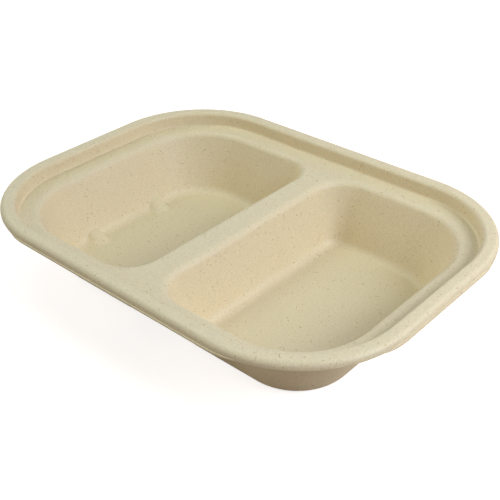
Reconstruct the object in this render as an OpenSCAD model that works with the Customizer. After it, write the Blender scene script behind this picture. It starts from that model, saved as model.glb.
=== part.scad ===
// Two-compartment tray, press-moulded in one piece from plant fibre.
// The wall has one thickness throughout: it runs from the trim lip over the rim bead, down a step to
// the lid ledge, over a rounded mouth edge and down a drafted wall to each floor. The divider is the
// same wall folded over, hollow from below. Two stacking lugs stand at the foot of each end wall.
// Origin: centre of the tray, on the plane that it stands on.

/* [Tray] */
// Overall length, along X
tray_l = 235; // [200:1:300]
// Overall width, along Y
tray_w = 175; // [150:1:220]
// Overall height, from the underside of the floors to the top of the rim
tray_h = 42.4; // [32:0.1:55]
// Thickness of the moulded wall
wall = 0.9; // [0.6:0.05:1.4]
// Corner radius of the outline
corner_r = 57; // [50:0.5:65]

/* [Rim] */
// Width of the trim lip that stands out from the foot of the bead
lip_w = 0.6; // [0.3:0.1:3]
// Drop from the top of the rim to the lip
lip_drop = 3.5; // [3:0.1:6]
// Width of the bead
bead_w = 7.6; // [6.5:0.1:10]
// Radius of the bead's outer shoulder
bead_outer_r = 2.6; // [2:0.1:3]
// Radius of the bead's inner shoulder
bead_inner_r = 2.3; // [1.6:0.1:2.8]

/* [Ledge] */
// Drop from the top of the rim to the lid ledge
ledge_drop = 8; // [6:0.1:12]
// Draft of the step between the rim and the ledge, in degrees
step_draft = 3; // [1:0.5:8]
// Fillet at the foot of the step
step_r = 1; // [0.6:0.1:2.5]
// Flat width of the ledge
ledge_w = 6.5; // [4:0.1:9]

/* [Compartments] */
// Flat width on top of the divider
divider_w = 9.2; // [6:0.1:16]
// Radius of the rounded mouth edge
mouth_r = 4.1; // [3:0.1:6]
// Draft of the outer walls, in degrees
wall_draft = 20; // [12:0.5:22]
// Draft of the divider's walls, in degrees
divider_draft = 13; // [8:0.5:18]
// Fillet between the walls and the floor
floor_r = 6.1; // [3:0.1:8]
// Corner radius of the floor beside the divider
foot_corner_r = 3; // [2:0.1:6]

/* [Stacking lugs] */
// Distance between the two lugs of an end wall
lug_spacing = 46; // [30:0.5:50]
// Radius of the lug's arched back
lug_r = 5.5; // [4:0.1:7]
// Slope of the lug's back, in degrees
lug_slope = 26; // [22:1:45]
// How far the lug runs out on the floor, past the fillet
lug_reach = 4.5; // [2:0.1:7]

/* [Hidden] */
$fn = 96;
fibre_colour = "#d8cba8";
// steps along a rounded stretch of the section, and round each corner of a compartment
arc_steps = 6;
corner_steps = [8, 12, 12, 8];
// flat stretch by which neighbouring runs of the wall overlap
lap = 2;
floor_lap = 1;

// levels of the upper face
lip_z = tray_h - lip_drop;
ledge_z = tray_h - ledge_drop;
floor_z = wall;

// insets from the outline: shoulders of the bead, foot of the step, start of the mouth edge
bead_outer_u = lip_w + bead_outer_r;
bead_inner_u = lip_w + bead_w - bead_inner_r;
step_fall = ledge_drop - (bead_inner_r + step_r) * (1 - sin(step_draft));
step_u = bead_inner_u + (bead_inner_r + step_r) * cos(step_draft) + step_fall * tan(step_draft);
mouth_u = step_u + ledge_w;

// edges of the right-hand mouth, where its rounding starts
mouth_x = [divider_w / 2, tray_l / 2 - mouth_u];
mouth_y = [mouth_u - tray_w / 2, tray_w / 2 - mouth_u];

// inset from the mouth's edge to the end of the floor fillet, for a wall of the given draft
function floor_inset(draft) =
    (mouth_r + floor_r) * cos(draft)
    + (ledge_z - floor_z - (mouth_r + floor_r) * (1 - sin(draft))) * tan(draft);

end_inset = floor_inset(wall_draft);
divider_inset = floor_inset(divider_draft);

// corner radii of the mouth beside the divider and at the end wall
divider_corner_r = foot_corner_r + (end_inset + divider_inset) / 2;
end_corner_r = max(corner_r - mouth_u, end_inset + foot_corner_r);

// points on an arc about centre c, from angle a to angle b
function arc(c, r, a, b, n = arc_steps) =
    [for (i = [0:n]) c + r * [cos(a + (b - a) * i / n), sin(a + (b - a) * i / n)]];

function reversed(list) = [for (i = [len(list) - 1:-1:0]) list[i]];

// section of the rim from the bead to the ledge: inset and height, at depth d below the upper face
function rim_face(d) = concat(
    arc([bead_outer_u, tray_h - bead_outer_r], bead_outer_r - d, 180, 90),
    arc([bead_inner_u, tray_h - bead_inner_r], bead_inner_r - d, 90, step_draft),
    arc([step_u, ledge_z + step_r], step_r + d, 180 + step_draft, 270),
    [[mouth_u - lap / 2, ledge_z - d]]);

// closed section of the rim, with the lip at the foot of the bead
rim_section = concat(
    [[0, lip_z - wall], [0, lip_z], [lip_w, lip_z]],
    rim_face(0),
    reversed(rim_face(wall)),
    [[lip_w + wall, lip_z - wall]]);

// section of a compartment from the ledge to the floor, for a wall of the given draft:
// inset from the mouth's edge and height, at depth d below the upper face
function tub_face(draft, d) = concat(
    [[-lap, ledge_z - d]],
    arc([0, ledge_z - mouth_r], mouth_r - d, 90, draft),
    arc([floor_inset(draft), floor_z + floor_r], floor_r + d, 180 + draft, 270),
    [[floor_inset(draft) + floor_lap, floor_z - d]]);

function tub_section(draft) = concat(tub_face(draft, 0), reversed(tub_face(draft, wall)));

function along(side) = [cos(90 * side), sin(90 * side)];
function inward(side) = [-sin(90 * side), cos(90 * side)];
function corners(x, y) = [[x[0], y[0]], [x[1], y[0]], [x[1], y[1]], [x[0], y[1]]];

// outline of a rounded rectangle between two X and two Y values, with four corner radii
function rounded_outline(x, y, r) = [
    for (side = [0:3])
        let (corner = (side + 1) % 4)
        let (centre = corners(x, y)[corner] + r[corner] * (inward(side) - along(side)))
        each arc(centre, r[corner], 90 * side - 90, 90 * side, corner_steps[corner])];

// outline of the right-hand compartment, drawn in by one inset at its outer walls and one at the divider
function tub_outline(outer, divider) = rounded_outline(
    [mouth_x[0] + divider, mouth_x[1] - outer],
    [mouth_y[0] + outer, mouth_y[1] - outer],
    let (by_divider = divider_corner_r - (outer + divider) / 2)
    let (by_end = end_corner_r - outer)
    [by_divider, by_end, by_end, by_divider]);

// for each point of such an outline, how far it has turned from the outer walls to the divider
divider_share = [
    for (corner = [1, 2, 3, 0], i = [0:corner_steps[corner]])
        corner == 3 ? i / corner_steps[3] :
        corner == 0 ? 1 - i / corner_steps[0] : 0];

// rim: its section on four straight runs and four turned corners
module rim() {
    outline_x = [-tray_l / 2, tray_l / 2];
    outline_y = [-tray_w / 2, tray_w / 2];
    for (side = [0:3]) {
        from = corners(outline_x, outline_y)[side] + corner_r * along(side);
        to = corners(outline_x, outline_y)[(side + 1) % 4] - corner_r * along(side);
        translate(from)
            rotate([90, 0, 90 + 90 * side])
                linear_extrude(norm(to - from))
                    polygon(rim_section);
        translate(to + corner_r * inward(side))
            rotate(90 * side - 90)
                rotate_extrude(angle = 90)
                    polygon([for (p = rim_section) [corner_r - p[0], p[1]]]);
    }
}

// flat sheet of the ledge and the divider, open at both mouths
module ledge_sheet() {
    sheet_u = step_u + ledge_w / 4;
    sheet_x = tray_l / 2 - sheet_u;
    sheet_y = tray_w / 2 - sheet_u;
    sheet_r = corner_r - sheet_u;
    translate([0, 0, ledge_z - wall])
        linear_extrude(wall)
            difference() {
                polygon(rounded_outline([-sheet_x, sheet_x], [-sheet_y, sheet_y],
                                        [sheet_r, sheet_r, sheet_r, sheet_r]));
                for (turn = [0, 180])
                    rotate(turn)
                        polygon(tub_outline(-lap / 4, -lap / 4));
            }
}

// walls of the right-hand compartment, lofted: one ring of points for each point of the wall's section
module tub_walls() {
    outer = tub_section(wall_draft);
    divider = tub_section(divider_draft);
    rings = len(outer);
    turns = len(divider_share);
    polyhedron(
        points = [for (i = [0:rings - 1])
            let (outline = tub_outline(outer[i][0], divider[i][0]))
            each [for (j = [0:turns - 1])
                let (z = outer[i][1] + divider_share[j] * (divider[i][1] - outer[i][1]))
                [outline[j][0], outline[j][1], z]]],
        faces = [for (i = [0:rings - 1], j = [0:turns - 1])
            let (next_i = (i + 1) % rings)
            let (next_j = (j + 1) % turns)
            [i * turns + j, next_i * turns + j, next_i * turns + next_j, i * turns + next_j]]);
}

// walls and floor of the right-hand compartment
module tub() {
    tub_walls();
    linear_extrude(floor_z)
        polygon(tub_outline(end_inset + floor_lap / 2, divider_inset + floor_lap / 2));
}

// places its children at the two lugs of the right-hand end wall, along the slope of their backs
module at_lugs() {
    ridge_end = mouth_x[1] - end_inset - lug_reach;
    for (side = [-1, 1])
        translate([ridge_end - lug_r * sin(lug_slope), side * lug_spacing / 2,
                   floor_z - lug_r * cos(lug_slope)])
            rotate([0, 90 - lug_slope, 0])
                children();
}

// arched backs of the lugs, as far as the middle of the wall that carries them
module lug_backs() {
    back_l = 4 * (floor_r + lug_reach);
    clear_v = end_inset + 2 * lug_reach + lug_r;
    inside = concat(tub_face(wall_draft, wall / 2), [[clear_v, floor_z - wall / 2], [clear_v, ledge_z]]);
    intersection() {
        at_lugs()
            cylinder(r = lug_r, h = back_l, center = true);
        translate([mouth_x[1], 0, 0])
            rotate([90, 0, 0])
                linear_extrude(lug_spacing + 4 * lug_r, center = true)
                    polygon([for (p = inside) [-p[0], p[1]]]);
    }
}

// hollows of the lugs, open to the underside
module lug_hollows() {
    hollow_l = 4 * (floor_r + lug_reach);
    at_lugs()
        cylinder(r = lug_r - wall, h = hollow_l, center = true);
}

module tray() {
    color(fibre_colour)
        difference() {
            union() {
                rim();
                ledge_sheet();
                for (turn = [0, 180])
                    rotate(turn) {
                        tub();
                        lug_backs();
                    }
            }
            for (turn = [0, 180])
                rotate(turn)
                    lug_hollows();
        }
}

tray();
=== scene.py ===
# %% [markdown]
# # A two-compartment tray of pressed plant fibre
# The real tray is one sheet of wet pulp, pressed between two heated moulds and trimmed round the rim.
# This lesson loads the measured solid as a frame and sets up the camera. Then it makes the visible tray
# as one smooth sheet with the solid's section, gives it the paper-like finish of unbleached fibre,
# scatters the loose fibres that the pulp leaves in its skin, and lights it in a soft studio.

# %% Load the frame
import math

import bmesh
import bpy
from mathutils import Matrix, Vector


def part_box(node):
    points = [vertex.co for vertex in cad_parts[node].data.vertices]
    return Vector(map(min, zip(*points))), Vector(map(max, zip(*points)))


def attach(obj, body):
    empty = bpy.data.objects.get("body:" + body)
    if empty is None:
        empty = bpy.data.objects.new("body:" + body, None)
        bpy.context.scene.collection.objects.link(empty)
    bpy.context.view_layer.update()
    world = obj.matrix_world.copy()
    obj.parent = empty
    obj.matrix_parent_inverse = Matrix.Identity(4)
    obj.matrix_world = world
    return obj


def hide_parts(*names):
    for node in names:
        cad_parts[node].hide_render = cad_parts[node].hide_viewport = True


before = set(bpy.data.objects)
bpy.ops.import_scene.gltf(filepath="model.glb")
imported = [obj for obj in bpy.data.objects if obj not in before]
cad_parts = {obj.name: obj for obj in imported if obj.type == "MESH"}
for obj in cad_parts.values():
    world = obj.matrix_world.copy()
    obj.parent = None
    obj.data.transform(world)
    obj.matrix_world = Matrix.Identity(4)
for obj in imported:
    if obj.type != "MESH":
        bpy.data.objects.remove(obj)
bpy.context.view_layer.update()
tray_low, tray_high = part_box("tray")
print("tray box, mm:", [round(1000 * side, 1) for side in tray_high - tray_low])

# %% [markdown]
# ## The camera
# The photo was taken from above the near right corner. Distance, height and lens were worked out from
# the outline, so the camera is written as a place, a viewing direction and a small roll.

# %% Camera
camera_place = Vector((0.25532, -0.27629, 0.26112))
camera_right = Vector((0.74710, 0.66460, -0.01201))
camera_up = Vector((-0.35458, 0.41378, 0.83849))
camera_lens, sensor_width = 63.47, 36
nearest_seen, farthest_seen = 0.01, 20
camera_back = camera_right.cross(camera_up).normalized()
camera_data = bpy.data.cameras.new("photo_camera")
camera_data.lens = camera_lens
camera_data.sensor_width = sensor_width
camera_data.clip_start = nearest_seen
camera_data.clip_end = farthest_seen
camera = bpy.data.objects.new("photo_camera", camera_data)
axes = Matrix((camera_right.normalized(), camera_up.normalized(), camera_back)).transposed()
camera.matrix_world = Matrix.Translation(camera_place) @ axes.to_4x4()
bpy.context.scene.collection.objects.link(camera)
bpy.context.scene.camera = camera
print("camera is", round(camera_place.length, 3), "m from the tray's centre")

# %% [markdown]
# ## The section of the sheet
# Everything about the tray follows from one curve: the path that the sheet's upper face takes from the
# trimmed lip, over the rim bead, down a step to the lid ledge, over the mouth's rounded edge and down
# the drafted wall to the floor. A curve made of arcs keeps every bend tangent, so the light runs over
# it without a break. Heights are in millimetres above the table, insets are measured from the outline.

# %% Sizes of the section
MM = 0.001
tray_l = (tray_high.x - tray_low.x) / MM
tray_w = (tray_high.y - tray_low.y) / MM
tray_h = (tray_high.z - tray_low.z) / MM
wall = 0.9
corner_r = 57.0
lip_w, lip_drop = 0.6, 3.5
bead_w, bead_outer_r, bead_inner_r = 7.6, 2.6, 2.3
ledge_drop, ledge_w, step_r = 8.0, 6.5, 1.0
step_draft = math.radians(3)
divider_w, mouth_r, floor_r, foot_corner_r = 9.2, 4.1, 6.1, 3.0
wall_draft, divider_draft = math.radians(20), math.radians(13)
lip_z, ledge_z, floor_z = tray_h - lip_drop, tray_h - ledge_drop, wall

bead_outer_u = lip_w + bead_outer_r
bead_inner_u = lip_w + bead_w - bead_inner_r
step_fall = ledge_drop - (bead_inner_r + step_r) * (1 - math.sin(step_draft))
step_u = (bead_inner_u + (bead_inner_r + step_r) * math.cos(step_draft)
          + step_fall * math.tan(step_draft))
mouth_u = step_u + ledge_w
print("ledge runs from", round(step_u, 2), "to", round(mouth_u, 2), "mm inside the outline")


# %% Section helpers
def arc(centre, radius, start, end, steps):
    """Points on an arc, with angles in degrees, ends included."""
    angles = [math.radians(start + (end - start) * i / steps) for i in range(steps + 1)]
    return [(centre[0] + radius * math.cos(a), centre[1] + radius * math.sin(a)) for a in angles]


def run(start, end, steps):
    """Points between two ends of a straight stretch, ends left out."""
    shares = [i / steps for i in range(1, steps)]
    return [(start[0] + (end[0] - start[0]) * s, start[1] + (end[1] - start[1]) * s) for s in shares]


def joined(stretches, steps):
    """Lists of points in a row, with straight runs between them."""
    points = list(stretches[0])
    for stretch, count in zip(stretches[1:], steps):
        points += run(points[-1], stretch[0], count) + list(stretch)
    return points


def floor_inset(draft):
    """Inset from the mouth's edge to the flat floor, for a wall of the given draft."""
    fall = ledge_z - floor_z - (mouth_r + floor_r) * (1 - math.sin(draft))
    return (mouth_r + floor_r) * math.cos(draft) + fall * math.tan(draft)


def eased(share):
    """A share from 0 to 1 that starts and ends gently."""
    share = min(max(share, 0.0), 1.0)
    return share * share * (3 - 2 * share)


# %% Section of the rim
lip_root_r, lip_root_steps = 0.25, 4
lip_root = (lip_w - lip_root_r, lip_z + lip_root_r)
lip_points = [(0.0, lip_z)] + arc(lip_root, lip_root_r, 270, 360, lip_root_steps)
# where the lip is cut flush, its points stand one above the other at the foot of the bead
flush_pitch = 0.06
flush_points = [(lip_w, lip_z + i * flush_pitch) for i in range(len(lip_points))]

step_degrees = math.degrees(step_draft)
flat_run = 1.0
outer_steps, inner_steps, foot_steps = 12, 10, 8
drop_steps, crown_steps, step_steps = 2, 4, 4
bead_points = joined([
    lip_points[-1:],
    arc((bead_outer_u, tray_h - bead_outer_r), bead_outer_r, 180, 90, outer_steps),
    arc((bead_inner_u, tray_h - bead_inner_r), bead_inner_r, 90, step_degrees, inner_steps),
    arc((step_u, ledge_z + step_r), step_r, 180 + step_degrees, 270, foot_steps),
    [(step_u + flat_run, ledge_z)],
], [drop_steps, crown_steps, step_steps, 1])[1:]
print("section points on the rim:", len(lip_points) + len(bead_points))

# %% Section of a compartment
mouth_steps, wall_steps, fillet_steps = 10, 16, 12


def tub_points(draft):
    """Inset from the mouth's edge and height, from the ledge to the floor."""
    inset = floor_inset(draft)
    degrees = math.degrees(draft)
    return joined([
        [(-flat_run, ledge_z)],
        arc((0.0, ledge_z - mouth_r), mouth_r, 90, degrees, mouth_steps),
        arc((inset, floor_z + floor_r), floor_r, 180 + degrees, 270, fillet_steps),
        [(inset + flat_run, floor_z)],
    ], [1, wall_steps, 1])


outer_tub = tub_points(wall_draft)
divider_tub = tub_points(divider_draft)
print("section points in a compartment:", len(outer_tub))

# %% [markdown]
# ## Outlines
# Seen from above, each row of the sheet is a rounded outline. The rim's rows run round one half of the
# tray and stop at the middle of the divider. Inside the ledge every row is a closed loop round one
# compartment. All rows have the same number of points at the same stations, so neighbouring rows join
# in clean quads. The other half is the same mesh turned by half a turn.

# %% Stations round one half of the tray
steps_long, steps_across, steps_divider = 18, 110, 22
steps_end_corner, steps_divider_corner = 24, 14
half_corner = steps_divider_corner // 2
steps_rim = 2 * (half_corner + steps_long + steps_end_corner) + steps_across

mouth_x = (divider_w / 2, tray_l / 2 - mouth_u)
mouth_y = tray_w / 2 - mouth_u
end_corner_r = corner_r - mouth_u
divider_corner_r = foot_corner_r + (floor_inset(wall_draft) + floor_inset(divider_draft)) / 2
smallest_r = 0.4
print("stations on half the rim:", steps_rim + 1)


def tub_loop(outer, divider):
    """Closed loop round the right-hand compartment, drawn in at its outer walls and at the divider."""
    x0, x1 = mouth_x[0] + divider, mouth_x[1] - outer
    y1 = mouth_y - outer
    r0 = max(divider_corner_r - (outer + divider) / 2, smallest_r)
    r1 = max(end_corner_r - outer, smallest_r)
    loop = joined([
        arc((x0 + r0, r0 - y1), r0, 225, 270, half_corner),
        arc((x1 - r1, r1 - y1), r1, 270, 360, steps_end_corner),
        arc((x1 - r1, y1 - r1), r1, 0, 90, steps_end_corner),
        arc((x0 + r0, y1 - r0), r0, 90, 180, steps_divider_corner),
        arc((x0 + r0, r0 - y1), r0, 180, 225, half_corner),
    ], [steps_long, steps_across, steps_long, steps_divider])
    return loop[:-1]


def sheet_loop(inset):
    """Closed loop round the right-hand half at an inset from the outline, along the divider's middle."""
    x1, y1, r1 = tray_l / 2 - inset, tray_w / 2 - inset, corner_r - inset
    corner_x = mouth_x[0] + divider_corner_r
    corner_y = mouth_y - divider_corner_r
    loop = joined([
        [(0.0, -y1)],
        [(corner_x, -y1)],
        arc((x1 - r1, r1 - y1), r1, 270, 360, steps_end_corner),
        arc((x1 - r1, y1 - r1), r1, 0, 90, steps_end_corner),
        [(corner_x, y1)],
        [(0.0, y1)],
        [(0.0, corner_y)],
        [(0.0, -corner_y)],
        [(0.0, -y1)],
    ], [half_corner, steps_long, steps_across, steps_long, half_corner, half_corner,
        steps_divider, half_corner])
    return loop[:-1]


# %% [markdown]
# ## One half of the sheet
# The rows are stacked from the lip to the floor: rim rows first, then flat rows across the ledge, then
# the compartment's rows, whose draft changes from the outer walls to the divider round the two corners
# beside it, and last a few rows that close the floor. The trimming knife leaves a narrow lip along the
# sides and cuts it flush round the corners. So each row of the lip is a mix of a wide and a flush outline,
# and a share that fades out towards the middle of a corner says how much of each it has.

# %% Shares along the stations
lip_fade = 1.7
stations = steps_rim + steps_divider_corner + steps_divider


def divider_share(station):
    """How far a station has turned from the outer walls to the divider, from 0 to 1."""
    past = station - steps_rim
    last = steps_divider_corner + steps_divider
    if station < half_corner:
        return 0.5 - 0.5 * station / half_corner
    if past < -half_corner:
        return 0.0
    if past < half_corner:
        return 0.5 + 0.5 * past / half_corner
    if past <= last - half_corner:
        return 1.0
    return 1.0 - 0.5 * (past - (last - half_corner)) / half_corner


def lip_share(station):
    """How much of the lip the knife left at a station: all on the sides, none round the corners."""
    first = half_corner + steps_long
    second = first + steps_end_corner + steps_across
    for start in (first, second):
        turned = (station - start) / steps_end_corner
        if 0 < turned < 1:
            return eased(1 - lip_fade * math.sin(math.pi * turned))
    return 1.0


lip_shares = [lip_share(i) for i in range(steps_rim + 1)]
shares = [divider_share(i) for i in range(stations)]
print("stations with a full lip:", lip_shares.count(1.0), "of", len(lip_shares))

# %% Rows of one half
rim_rows = []
for (lip_u, lip_height), (flush_u, flush_height) in zip(lip_points, flush_points):
    wide, flush = sheet_loop(lip_u), sheet_loop(flush_u)
    rim_rows.append([(fx + (wx - fx) * share, fy + (wy - fy) * share,
                      flush_height + (lip_height - flush_height) * share)
                     for (wx, wy), (fx, fy), share in zip(wide, flush, lip_shares)])
rim_rows += [[(x, y, z) for x, y in sheet_loop(u)[:steps_rim + 1]] for u, z in bead_points]

tub_rows = []
for (outer_u, outer_z), (divider_u, divider_z) in zip(outer_tub, divider_tub):
    loop = tub_loop(outer_u, divider_u)
    heights = [outer_z + share * (divider_z - outer_z) for share in shares]
    tub_rows.append([(x, y, z) for (x, y), z in zip(loop, heights)])

floor_steps, floor_pitch = 12, 1.0
for step in range(1, floor_steps + 1):
    loop = tub_loop(outer_tub[-1][0] + step * floor_pitch, divider_tub[-1][0] + step * floor_pitch)
    tub_rows.append([(x, y, floor_z) for x, y in loop])

ledge_steps = 3
ledge_rim = sheet_loop(bead_points[-1][0])
ledge_rows = []
for step in range(ledge_steps):
    share = step / ledge_steps
    ledge_rows.append([(ax + (bx - ax) * share, ay + (by - ay) * share, ledge_z)
                       for (ax, ay), (bx, by, _) in zip(ledge_rim, tub_rows[0])])
print("rows:", len(rim_rows), "rim,", len(ledge_rows), "ledge,", len(tub_rows), "compartment")


# %% Mesh of the sheet
def add_half(mesh, turn):
    """Adds one half of the sheet's upper face, turned about the tray's upright axis."""
    def placed(rows):
        return [[mesh.verts.new(Vector((turn * x, turn * y, z)) * MM) for x, y, z in row] for row in rows]

    open_rows = placed(rim_rows)
    closed_rows = placed(ledge_rows + tub_rows)
    for upper, lower in zip(open_rows, open_rows[1:]):
        for i in range(steps_rim):
            mesh.faces.new((upper[i], upper[i + 1], lower[i + 1], lower[i]))
    for upper, lower in zip(closed_rows, closed_rows[1:]):
        for i in range(stations):
            j = (i + 1) % stations
            mesh.faces.new((upper[i], upper[j], lower[j], lower[i]))
    mesh.faces.new(closed_rows[-1])


sheet = bmesh.new()
for turn in (1, -1):
    add_half(sheet, turn)
merge_distance = 1e-6
bmesh.ops.remove_doubles(sheet, verts=sheet.verts, dist=merge_distance)
bmesh.ops.recalc_face_normals(sheet, faces=sheet.faces)
if sum(face.normal.z * face.calc_area() for face in sheet.faces) < 0:
    bmesh.ops.reverse_faces(sheet, faces=sheet.faces)
sheet_mesh = bpy.data.meshes.new("tray_sheet")
sheet.to_mesh(sheet_mesh)
sheet.free()
tray = bpy.data.objects.new("tray_sheet", sheet_mesh)
bpy.context.scene.collection.objects.link(tray)
print("upper face:", len(sheet_mesh.polygons), "faces")

# %% [markdown]
# ## Thickness and the trimmed edge
# Pressed pulp has one thickness nearly everywhere, so a Solidify modifier grows the sheet downwards by
# the wall. The lip is cut after pressing. A narrow bevel takes the knife sharpness off its two edges.
# The angle limit keeps it away from every other edge, since the sheet has no other sharp one. What the
# modifiers give is then turned into a plain mesh, which later steps can reshape and measure.

# %% Plain meshes
def plain_mesh(piece, name):
    """Turns a piece with modifiers into a plain mesh of the given name."""
    bpy.context.view_layer.update()
    evaluated = piece.evaluated_get(bpy.context.evaluated_depsgraph_get())
    made = bpy.data.meshes.new_from_object(evaluated)
    piece.modifiers.clear()
    piece.data = made
    made.name = name
    return made


def triangle_count(mesh):
    """Number of triangles that a mesh has once its faces are split."""
    return sum(len(polygon.vertices) - 2 for polygon in mesh.polygons)


# %% Thickness
trim_bevel, trim_steps, trim_angle = 0.18, 2, math.radians(50)
thicken = tray.modifiers.new("wall", "SOLIDIFY")
thicken.thickness = wall * MM
thicken.offset = -1
thicken.use_even_offset = True
trim = tray.modifiers.new("trim", "BEVEL")
trim.width = trim_bevel * MM
trim.segments = trim_steps
trim.limit_method = "ANGLE"
trim.angle_limit = trim_angle
solid_mesh = plain_mesh(tray, "tray_wall")
for polygon in solid_mesh.polygons:
    polygon.use_smooth = True
print("finished wall:", triangle_count(solid_mesh), "triangles")

# %% [markdown]
# ## Stacking lugs
# Two low ramps stand at the foot of each end wall, so that stacked trays come apart. The photo shows each
# one as a pale tongue with a flat back, whose one side runs out gently while the other falls off sooner,
# with a faint crease beside it. They could be cut out of a solid, but the mould softens every edge. Here
# the vertices of the upper face are raised instead: where the ramp stands above the wall, a smooth maximum
# takes over from one to the other, and a shallow groove with soft edges makes the crease. The lower face
# is left alone, because the photo's outline has no notch at the foot of the wall.

# %% Lug ramps
lug_spacing, lug_reach = 46.0, 4.5
lug_slope = math.radians(26)
tongue_shift, tongue_flat, tongue_gentle, tongue_steep = 1.8, 2.2, 8.0, 2.6
tongue_sink, lug_blend = 0.6, 0.6
crease_shift, crease_half, crease_depth, crease_fade, crease_top = -1.7, 0.9, 0.7, 3.0, 8.0
ridge_end = mouth_x[1] - floor_inset(wall_draft) - lug_reach
print("lugs start", round(ridge_end, 1), "mm from the middle of the tray")


def smooth_max(a, b, width):
    """The larger of two heights, rounded where they are less than a width apart."""
    share = min(max(0.5 + 0.5 * (b - a) / width, 0.0), 1.0)
    return a + (b - a) * share + width * share * (1 - share)


def with_lugs(x, y, z):
    """Height of the upper face at a point of the right-hand compartment, lugs included."""
    aside = min(y - lug_spacing / 2, y + lug_spacing / 2, key=abs)
    if abs(aside) >= tongue_shift + tongue_flat + tongue_gentle or x < ridge_end - tongue_steep:
        return z
    reach = tongue_gentle if aside > tongue_shift else tongue_steep
    tongue = eased(1 - max(abs(aside - tongue_shift) - tongue_flat, 0.0) / reach)
    rise = (x - ridge_end) * math.tan(lug_slope)
    height = smooth_max(z, floor_z + rise * tongue - tongue_sink * (1 - tongue), lug_blend)
    along = eased((x - ridge_end) / crease_fade) * eased((crease_top - z) / crease_fade)
    groove = math.exp(-((aside - crease_shift) / crease_half) ** 2)
    return max(height - crease_depth * along * groove, min(height, floor_z))


# %% Lugs raised
upper_face = [vertex for vertex in solid_mesh.vertices if vertex.normal.z > 0]
raised = 0
for vertex in upper_face:
    x, y, z = vertex.co / MM
    turn = 1 if x > 0 else -1
    height = with_lugs(turn * x, turn * y, z)
    raised += height > z
    vertex.co.z = height * MM
solid_mesh.update()
print("vertices raised by the lugs:", raised)

# %% [markdown]
# ## Unbleached plant fibre
# Straw and cane pulp dries to a dull cream. It is matt, since the skin is a felt of short fibres, and its
# colour drifts a very little where the pulp lay thicker or was hotter. A plain colour would look like
# plastic, and a picture of paper would repeat. So three noises make it, each with a size in millimetres.
# Single fibres of the felt are too fine to show at this distance, so they are drawn as coarser clumps.

# %% Colour and node helpers
def linear(code):
    """Linear colour of an sRGB hex value."""
    parts = [int(code[i:i + 2], 16) / 255 for i in (1, 3, 5)]
    return (*[p / 12.92 if p <= 0.04045 else ((p + 0.055) / 1.055) ** 2.4 for p in parts], 1.0)


def add_node(tree, kind, values=(), links=(), **settings):
    """Adds a node with its settings, socket values and incoming links."""
    made = tree.nodes.new(kind)
    for name, value in settings.items():
        setattr(made, name, value)
    for socket, value in dict(values).items():
        made.inputs[socket].default_value = value
    for socket, source in dict(links).items():
        tree.links.new(source, made.inputs[socket])
    return made


# %% Fibre material
def pressed_fibre():
    """Matt pressed pulp: the eye sees an even cream with a faint drift and a felted grain."""
    material = bpy.data.materials.new("pressed_plant_fibre")
    material.use_nodes = True
    tree = material.node_tree
    shader = tree.nodes["Principled BSDF"]
    place = add_node(tree, "ShaderNodeTexCoord").outputs["Object"]
    cloud_size, clump_size, grain_size = 9.0, 1.0, 0.5
    cloud, clump, grain = [
        add_node(tree, "ShaderNodeTexNoise", {"Scale": 1 / (size * MM), "Detail": detail},
                 {"Vector": place}).outputs["Fac"]
        for size, detail in ((cloud_size, 3.0), (clump_size, 2.0), (grain_size, 2.0))]
    drift = add_node(tree, "ShaderNodeValToRGB", links={"Fac": cloud})
    for stop, position, tint in zip(drift.color_ramp.elements, (0.3, 0.7), ("#dfcca6", "#dfcea8")):
        stop.position, stop.color = position, linear(tint)
    felt = add_node(tree, "ShaderNodeMath", links={0: clump, 1: grain}, operation="ADD").outputs["Value"]
    level = add_node(tree, "ShaderNodeMapRange",
                     {"From Min": 0.6, "From Max": 1.4, "To Min": 0.9, "To Max": 1.1}, {"Value": felt})
    colour = add_node(tree, "ShaderNodeVectorMath",
                      links={0: drift.outputs["Color"], "Scale": level.outputs["Result"]},
                      operation="SCALE")
    tree.links.new(colour.outputs["Vector"], shader.inputs["Base Color"])
    felt_relief = 0.1
    bump = add_node(tree, "ShaderNodeBump", {"Strength": 0.3, "Distance": felt_relief * MM},
                    {"Height": felt})
    tree.links.new(bump.outputs["Normal"], shader.inputs["Normal"])
    shader.inputs["Roughness"].default_value = 0.5
    shader.inputs["Specular IOR Level"].default_value = 0.5
    return material


tray.data.materials.clear()
tray.data.materials.append(pressed_fibre())
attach(tray, "root")
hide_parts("tray")
print("finish of the tray:", tray.data.materials[0].name)

# %% [markdown]
# ## Specks and loose fibres
# Straw and cane pulp is never quite clean. Small brown specks, short splinters of bark and a few long
# curled fibres lie in its skin, about three on each square centimetre. Drawn into the colour they would
# be round blots. Here a Geometry Nodes tree scatters points over the wall, sets a thin curved fibre
# on each and draws its vertices down on to the wall, so that a long one follows the bends of the sheet.
# One tree makes all the kinds, since length, width, curl and number are inputs of it.

# %% Tree that scatters fibres
fibre_points, ring_points = 5, 5
tip_girth, flatness = 0.3, 0.35
least_size, most_size = 0.5, 1.4


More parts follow.
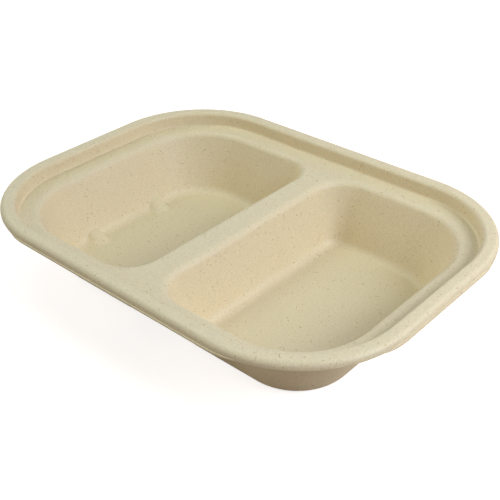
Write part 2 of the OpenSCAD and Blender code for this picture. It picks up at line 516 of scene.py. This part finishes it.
def scatter_tree():
    """Geometry Nodes tree: curved fibres on random points of a wall, drawn down on to it."""
    tree = bpy.data.node_groups.new("scattered_fibres", "GeometryNodeTree")
    for name, kind in (("Wall", "Geometry"), ("Number per square metre", "Float"), ("Length", "Float"),
                       ("Width", "Float"), ("Curl", "Float"), ("Seed", "Int"), ("Finish", "Material")):
        tree.interface.new_socket(name, in_out="INPUT", socket_type="NodeSocket" + kind)
    tree.interface.new_socket("Fibres", in_out="OUTPUT", socket_type="NodeSocketGeometry")
    given = add_node(tree, "NodeGroupInput").outputs

    # one fibre at the origin: a bent line, thick in the middle, with a small round section pressed flat
    half = add_node(tree, "ShaderNodeMath", {1: 0.5}, {0: given["Length"]}, operation="MULTIPLY")
    back = add_node(tree, "ShaderNodeMath", {1: -0.5}, {0: given["Length"]}, operation="MULTIPLY")
    sag = add_node(tree, "ShaderNodeMath", links={0: given["Length"], 1: given["Curl"]},
                   operation="MULTIPLY")
    start = add_node(tree, "ShaderNodeCombineXYZ", links={"X": back.outputs[0]})
    middle = add_node(tree, "ShaderNodeCombineXYZ", links={"Y": sag.outputs[0]})
    end = add_node(tree, "ShaderNodeCombineXYZ", links={"X": half.outputs[0]})
    line = add_node(tree, "GeometryNodeCurveQuadraticBezier", {"Resolution": fibre_points},
                    {"Start": start.outputs[0], "Middle": middle.outputs[0], "End": end.outputs[0]})
    along = add_node(tree, "GeometryNodeSplineParameter")
    taper = add_node(tree, "ShaderNodeMath", {1: math.pi}, {0: along.outputs["Factor"]},
                     operation="MULTIPLY")
    swell = add_node(tree, "ShaderNodeMath", links={0: taper.outputs[0]}, operation="SINE")
    girth = add_node(tree, "ShaderNodeMapRange", {"To Min": tip_girth, "To Max": 1.0},
                     {"Value": swell.outputs[0]})
    shaped = add_node(tree, "GeometryNodeSetCurveRadius",
                      links={"Curve": line.outputs[0], "Radius": girth.outputs["Result"]})
    radius = add_node(tree, "ShaderNodeMath", {1: 0.5}, {0: given["Width"]}, operation="MULTIPLY")
    ring = add_node(tree, "GeometryNodeCurvePrimitiveCircle", {"Resolution": ring_points},
                    {"Radius": radius.outputs[0]})
    body = add_node(tree, "GeometryNodeCurveToMesh", {"Fill Caps": True},
                    {"Curve": shaped.outputs[0], "Profile Curve": ring.outputs["Curve"]})
    flat = add_node(tree, "GeometryNodeTransform", {"Scale": (1.0, 1.0, flatness)},
                    {"Geometry": body.outputs[0]})
    spot = add_node(tree, "GeometryNodeInputPosition")
    split = add_node(tree, "ShaderNodeSeparateXYZ", links={"Vector": spot.outputs[0]})
    fibre = add_node(tree, "GeometryNodeStoreNamedAttribute", {"Name": "height"},
                     {"Geometry": flat.outputs[0], "Value": split.outputs["Z"]})

    # random points of the wall, each with a random turn about the wall's normal and a random size
    points = add_node(tree, "GeometryNodeDistributePointsOnFaces",
                      links={"Mesh": given["Wall"], "Density": given["Number per square metre"],
                             "Seed": given["Seed"]})
    angle = add_node(tree, "FunctionNodeRandomValue", {"Max": 2 * math.pi}, {"Seed": given["Seed"]})
    about = add_node(tree, "ShaderNodeCombineXYZ", links={"Z": angle.outputs["Value"]})
    turned = add_node(tree, "FunctionNodeEulerToRotation", links={"Euler": about.outputs[0]})
    aim = add_node(tree, "FunctionNodeRotateRotation",
                   links={"Rotation": points.outputs["Rotation"], "Rotate By": turned.outputs[0]},
                   rotation_space="LOCAL")
    other_seed = add_node(tree, "ShaderNodeMath", {1: 1.0}, {0: given["Seed"]}, operation="ADD")
    size = add_node(tree, "FunctionNodeRandomValue", {"Min": least_size, "Max": most_size},
                    {"Seed": other_seed.outputs[0]})
    placed = add_node(tree, "GeometryNodeInstanceOnPoints",
                      links={"Points": points.outputs["Points"], "Instance": fibre.outputs[0],
                             "Rotation": aim.outputs[0], "Scale": size.outputs["Value"]})
    real = add_node(tree, "GeometryNodeRealizeInstances", links={"Geometry": placed.outputs[0]})

    # every vertex goes to the nearest place of the wall, then out again by its own height in the fibre
    nearest = add_node(tree, "GeometryNodeProximity", links={0: given["Wall"]}, target_element="FACES")
    normal = add_node(tree, "GeometryNodeInputNormal")
    outward = add_node(tree, "GeometryNodeSampleNearestSurface",
                       links={"Mesh": given["Wall"], "Value": normal.outputs[0]},
                       data_type="FLOAT_VECTOR")
    height = add_node(tree, "GeometryNodeInputNamedAttribute", {"Name": "height"})
    lift = add_node(tree, "ShaderNodeVectorMath",
                    links={0: outward.outputs["Value"], "Scale": height.outputs["Attribute"]},
                    operation="SCALE")
    on_wall = add_node(tree, "ShaderNodeVectorMath",
                       links={0: nearest.outputs["Position"], 1: lift.outputs["Vector"]}, operation="ADD")
    laid = add_node(tree, "GeometryNodeSetPosition",
                    links={"Geometry": real.outputs[0], "Position": on_wall.outputs["Vector"]})
    done = add_node(tree, "GeometryNodeSetMaterial",
                    links={"Geometry": laid.outputs[0], "Material": given["Finish"]})
    add_node(tree, "NodeGroupOutput", links={"Fibres": done.outputs[0]})
    return tree


fibre_tree = scatter_tree()
fibre_sockets = {item.name: item.identifier for item in fibre_tree.interface.items_tree
                 if item.in_out == "INPUT"}
print("inputs of the tree:", ", ".join(fibre_sockets))

# %% [markdown]
# ## The three kinds
# Specks are the commonest and the smallest. Splinters are rare, darker and nearly straight. Long fibres
# are thin and curled. All are browner than the pulp, since they come from the skin of the stalk. Each kind
# keeps a fixed seed, so every run lays them in the same places.

# %% Bark material
def bark(name, dark, pale):
    """Dull brown of straw skin: the eye sees flecks that differ a little from one to the next."""
    material = bpy.data.materials.new(name)
    material.use_nodes = True
    tree = material.node_tree
    shader = tree.nodes["Principled BSDF"]
    place = add_node(tree, "ShaderNodeTexCoord").outputs["Object"]
    patch_size = 4.0
    patch = add_node(tree, "ShaderNodeTexNoise", {"Scale": 1 / (patch_size * MM)}, {"Vector": place})
    shade = add_node(tree, "ShaderNodeValToRGB", links={"Fac": patch.outputs["Fac"]})
    for stop, position, tint in zip(shade.color_ramp.elements, (0.35, 0.65), (dark, pale)):
        stop.position, stop.color = position, linear(tint)
    tree.links.new(shade.outputs["Color"], shader.inputs["Base Color"])
    shader.inputs["Roughness"].default_value = 0.85
    shader.inputs["Specular IOR Level"].default_value = 0.15
    return material


# %% Three kinds of fibre
# number on a square metre, length and width in millimetres, curl, seed and finish
kinds = {
    "specks": (26000.0, 0.5, 0.32, 0.1, 3, bark("straw_skin", "#a87a3a", "#cba868")),
    "splinters": (500.0, 0.8, 0.26, 0.15, 5, bark("dark_bark", "#7a4a14", "#9c6a2c")),
    "long_fibres": (2400.0, 2.2, 0.15, 0.35, 8, bark("straw_fibre", "#a0752f", "#c09a5a")),
}
for name, (number, length, width, curl, seed, finish) in kinds.items():
    scattered = bpy.data.objects.new(name, tray.data)
    bpy.context.scene.collection.objects.link(scattered)
    scatter = scattered.modifiers.new("scatter", "NODES")
    scatter.node_group = fibre_tree
    values = {"Number per square metre": number, "Length": length * MM, "Width": width * MM,
              "Curl": curl, "Seed": seed, "Finish": finish}
    for socket, value in values.items():
        scatter[fibre_sockets[socket]] = value
    fibre_mesh = plain_mesh(scattered, name)
    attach(scattered, "root")
    print(name, "have", triangle_count(fibre_mesh), "triangles")

# %% [markdown]
# ## Studio
# The photo has a white ground and soft light from several sides. Three round softboxes shape the tray: a
# broad key from the right, a second high up at the left and a weak warm one from the far side. Two wide
# patches of sky fill in from the left, as reflector boards would. The ground is white because the floor
# glows for the camera alone, and the world is white to the camera and to mirror rays. So the tray can be
# lit at a plain level, at which its colours look as they are written, and the floor takes its shadow.

# %% Floor
# the floor lies a hair below the tray, so that no two faces share a plane
floor_side, floor_gap, floor_glow = 6.0, 0.1, 0.8
floor_z_m = tray_low.z - floor_gap * MM
floor_mesh = bpy.data.meshes.new("floor")
corners = [(-1, -1), (1, -1), (1, 1), (-1, 1)]
floor_mesh.from_pydata([(x * floor_side / 2, y * floor_side / 2, floor_z_m) for x, y in corners], [],
                       [(0, 1, 2, 3)])
floor = bpy.data.objects.new("floor", floor_mesh)
bpy.context.scene.collection.objects.link(floor)
# matt paper: the eye sees a white ground with a soft shadow on it
paper = bpy.data.materials.new("floor_paper")
paper.use_nodes = True
paper_tree = paper.node_tree
paper_tree.nodes.clear()
rays = add_node(paper_tree, "ShaderNodeLightPath")
matt = add_node(paper_tree, "ShaderNodeBsdfDiffuse", {"Color": linear("#c9bcb0")})
seen = add_node(paper_tree, "ShaderNodeMath", {1: floor_glow}, {0: rays.outputs["Is Camera Ray"]},
                operation="MULTIPLY")
glow = add_node(paper_tree, "ShaderNodeEmission", links={"Strength": seen.outputs["Value"]})
both = add_node(paper_tree, "ShaderNodeAddShader",
                links={0: matt.outputs["BSDF"], 1: glow.outputs["Emission"]})
add_node(paper_tree, "ShaderNodeOutputMaterial", links={"Surface": both.outputs["Shader"]})
floor_mesh.materials.append(paper)
print("floor lies", floor_gap, "mm below the tray")


# %% Patches of sky
def towards(azimuth, elevation):
    """Direction from the tray to a place in the studio, from two angles in degrees."""
    turn, lift = math.radians(azimuth), math.radians(elevation)
    return Vector((math.cos(lift) * math.cos(turn), math.cos(lift) * math.sin(turn), math.sin(lift)))


world = bpy.data.worlds.new("studio")
bpy.context.scene.world = world
world.use_nodes = True
sky_tree = world.node_tree
sky_tree.nodes.clear()
looking = add_node(sky_tree, "ShaderNodeTexCoord").outputs["Generated"]
# azimuth and elevation in degrees, sharpness, strength and tint
reflectors = {
    "front_left": (225, 25, 6, 1.83, "#fbfdff"),
    "back_left": (135, 25, 6, 0.71, "#838bff"),
}
patches = []
for azimuth, elevation, sharpness, strength, tint in reflectors.values():
    value = add_node(sky_tree, "ShaderNodeVectorMath", {1: towards(azimuth, elevation)}, {0: looking},
                     operation="DOT_PRODUCT").outputs["Value"]
    for operation, amount in (("MAXIMUM", 0.0), ("POWER", sharpness), ("MULTIPLY", strength)):
        value = add_node(sky_tree, "ShaderNodeMath", {1: amount}, {0: value},
                         operation=operation).outputs["Value"]
    glow = add_node(sky_tree, "ShaderNodeBackground", {"Color": linear(tint)}, {"Strength": value})
    patches.append(glow.outputs["Background"])
sky = add_node(sky_tree, "ShaderNodeAddShader", links=dict(enumerate(patches))).outputs["Shader"]

# %% White for the camera and for mirror rays
sky_rays = add_node(sky_tree, "ShaderNodeLightPath").outputs
mirrored = add_node(sky_tree, "ShaderNodeMath",
                    links={0: sky_rays["Is Camera Ray"], 1: sky_rays["Is Glossy Ray"]}, operation="ADD")
direct = add_node(sky_tree, "ShaderNodeMath",
                  links={0: mirrored.outputs["Value"], 1: sky_rays["Is Transmission Ray"]},
                  operation="ADD", use_clamp=True)
white = add_node(sky_tree, "ShaderNodeBackground", {"Color": linear("#ffffff"), "Strength": 1.0})
pick = add_node(sky_tree, "ShaderNodeMixShader",
                links={0: direct.outputs["Value"], 1: sky, 2: white.outputs["Background"]})
add_node(sky_tree, "ShaderNodeOutputWorld", links={"Surface": pick.outputs["Shader"]})
print("sky has", len(patches), "soft patches")

# %% Softboxes
box_distance, box_size = 0.8, 0.45
# azimuth and elevation in degrees, power in watts and tint
softboxes = {
    "key": (10, 38, 5.41, "#e4eeff"),
    "top": (180, 65, 1.63, "#e5ffed"),
    "side": (60, 22, 0.88, "#ffe8e0"),
}
for name, (azimuth, elevation, energy, tint) in softboxes.items():
    lamp_data = bpy.data.lights.new(name, "AREA")
    lamp_data.shape = "DISK"
    lamp_data.size = box_size
    lamp_data.energy = energy
    lamp_data.color = linear(tint)[:3]
    place = box_distance * towards(azimuth, elevation)
    lamp = bpy.data.objects.new(name, lamp_data)
    lamp.matrix_world = Matrix.Translation(place) @ place.to_track_quat("Z", "Y").to_matrix().to_4x4()
    bpy.context.scene.collection.objects.link(lamp)
bpy.context.scene.view_settings.view_transform = "Standard"
print("softboxes:", ", ".join(softboxes))
